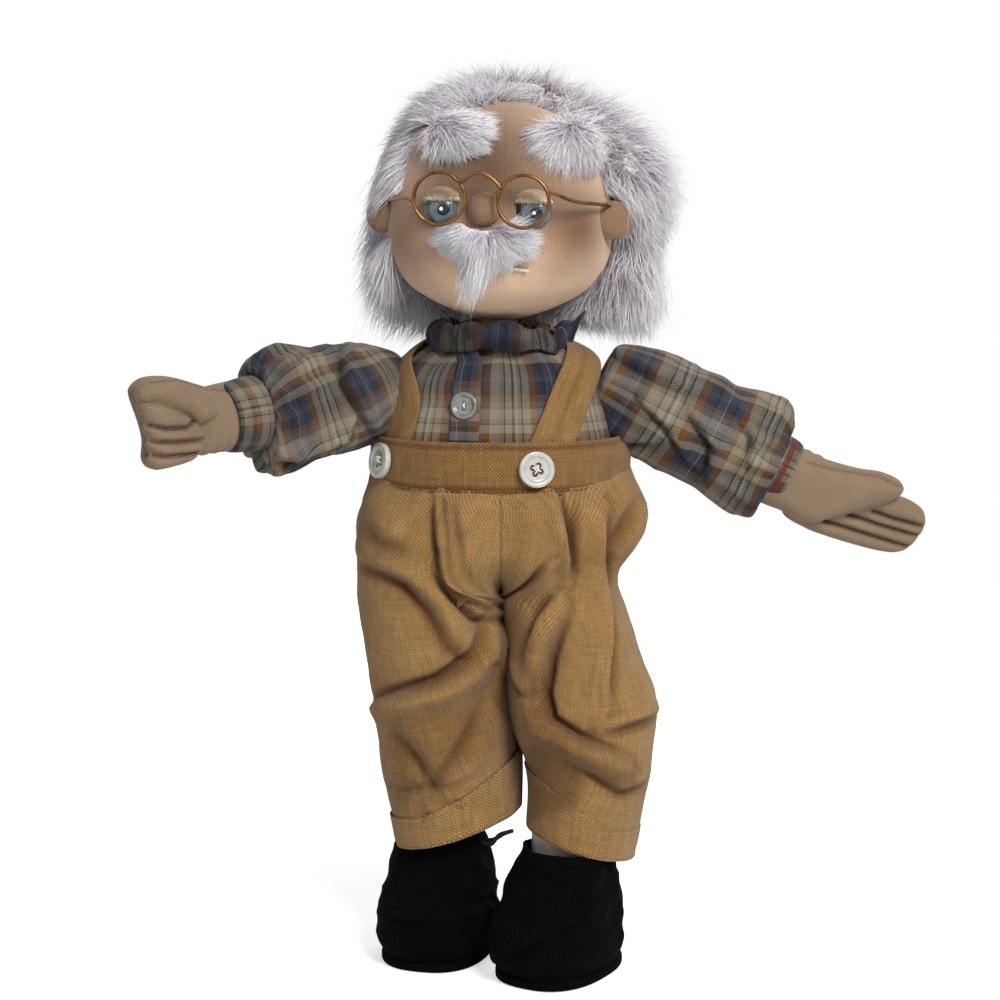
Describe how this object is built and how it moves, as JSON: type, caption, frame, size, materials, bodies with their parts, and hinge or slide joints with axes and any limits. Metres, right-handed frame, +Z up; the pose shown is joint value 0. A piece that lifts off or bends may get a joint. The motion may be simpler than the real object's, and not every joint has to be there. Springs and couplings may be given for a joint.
{
  "type": "cloth doll",
  "caption": "Stuffed cloth doll of an old man with fur hair, wire spectacles, plaid shirt and suspender trousers; poseable head, arms and legs, stands on flat shoes",
  "frame": {"origin": "on the ground under the middle of the doll's bounding box, level with the shoe soles", "axes": "+Z up along the standing doll, which looks along -Y; +X is towards the doll's own left hand"},
  "size_m": [0.3296, 0.135, 0.3841],
  "materials": {
    "knit": "matte",
    "fur": "matte",
    "plaid": "matte",
    "linen": "matte",
    "white_cloth": "matte",
    "black_cloth": "matte",
    "black_thread": "matte",
    "white_thread": "matte",
    "white_plastic": "gloss",
    "grey_plastic": "gloss",
    "eye_plastic": "gloss",
    "copper_wire": "satin"
  },
  "bodies": {
    "torso": {"torso": "white_cloth", "shirt_body": "plaid", "shirt_placket": "plaid", "shirt_collar": "plaid", "shirt_button": "grey_plastic", "suspender_right": "linen", "suspender_left": "linen", "waistband": "linen", "waistband_button_right": "white_plastic", "waistband_button_left": "white_plastic", "trouser_seat": "linen"},
    "neck": {"neck": "knit"},
    "head": {"head": "knit", "nose": "knit", "ear_right": "knit", "ear_left": "knit", "eye_right": "eye_plastic", "eye_left": "eye_plastic", "eyelid_right": "knit", "eyelid_left": "knit", "lashes_right": "white_thread", "lashes_left": "white_thread", "mouth_thread": "white_thread", "wig": "fur", "brow_right": "fur", "brow_left": "fur", "moustache": "fur", "spectacles": "copper_wire"},
    "shoulder_right": {"shoulder_ball_right": "white_cloth"},
    "shoulder_left": {"shoulder_ball_left": "white_cloth"},
    "arm_right": {"arm_right": "white_cloth", "sleeve_right": "plaid", "cuff_right": "plaid", "hand_right": "knit"},
    "arm_left": {"arm_left": "white_cloth", "sleeve_left": "plaid", "cuff_left": "plaid", "hand_left": "knit"},
    "leg_right": {"leg_right": "white_cloth", "trouser_leg_right": "linen", "trouser_hem_right": "linen", "shoe_upper_right": "black_cloth", "shoe_sole_right": "black_cloth", "shoe_lace_right": "black_thread", "shoe_lace_end": "black_thread"},
    "leg_left": {"leg_left": "white_cloth", "trouser_leg_left": "linen", "trouser_hem_left": "linen", "shoe_upper_left": "black_cloth", "shoe_sole_left": "black_cloth", "shoe_lace_left": "black_thread"}
  },
  "joints": [
    {"name": "neck_nod", "type": "hinge", "parent": "torso", "child": "neck", "pos_m": [-0.01691, 0.0129, 0.2618], "axis": [1, 0, 0], "range_deg": [-9, 12]},
    {"name": "head_turn", "type": "hinge", "parent": "neck", "child": "head", "pos_m": [-0.01691, 0.0129, 0.2618], "axis": [0, 0, 1], "range_deg": [-35, 35]},
    {"name": "shoulder_right_raise", "type": "hinge", "parent": "torso", "child": "shoulder_right", "pos_m": [-0.06991, 0.0129, 0.2468], "axis": [0, 1, 0], "range_deg": [-20, 45], "deforming": ["sleeve_right"]},
    {"name": "arm_right_swing", "type": "hinge", "parent": "shoulder_right", "child": "arm_right", "pos_m": [-0.06991, 0.0129, 0.2468], "axis": [-0.1045, 0, 0.9945], "range_deg": [-45, 15], "deforming": ["sleeve_right"]},
    {"name": "shoulder_left_raise", "type": "hinge", "parent": "torso", "child": "shoulder_left", "pos_m": [0.03609, 0.0129, 0.2468], "axis": [0, -1, 0], "range_deg": [-15, 65], "deforming": ["sleeve_left"]},
    {"name": "arm_left_swing", "type": "hinge", "parent": "shoulder_left", "child": "arm_left", "pos_m": [0.03609, 0.0129, 0.2468], "axis": [-0.4147, 0, -0.91], "range_deg": [-15, 50], "deforming": ["sleeve_left"]},
    {"name": "hip_right", "type": "hinge", "parent": "torso", "child": "leg_right", "pos_m": [-0.04091, 0.0129, 0.17], "axis": [-1, 0, 0], "range_deg": [-25, 80], "deforming": ["trouser_seat", "trouser_leg_right"]},
    {"name": "hip_left", "type": "hinge", "parent": "torso", "child": "leg_left", "pos_m": [0.01409, 0.0129, 0.17], "axis": [-1, 0, 0], "range_deg": [-25, 80], "deforming": ["trouser_seat", "trouser_leg_left"]}
  ]
}
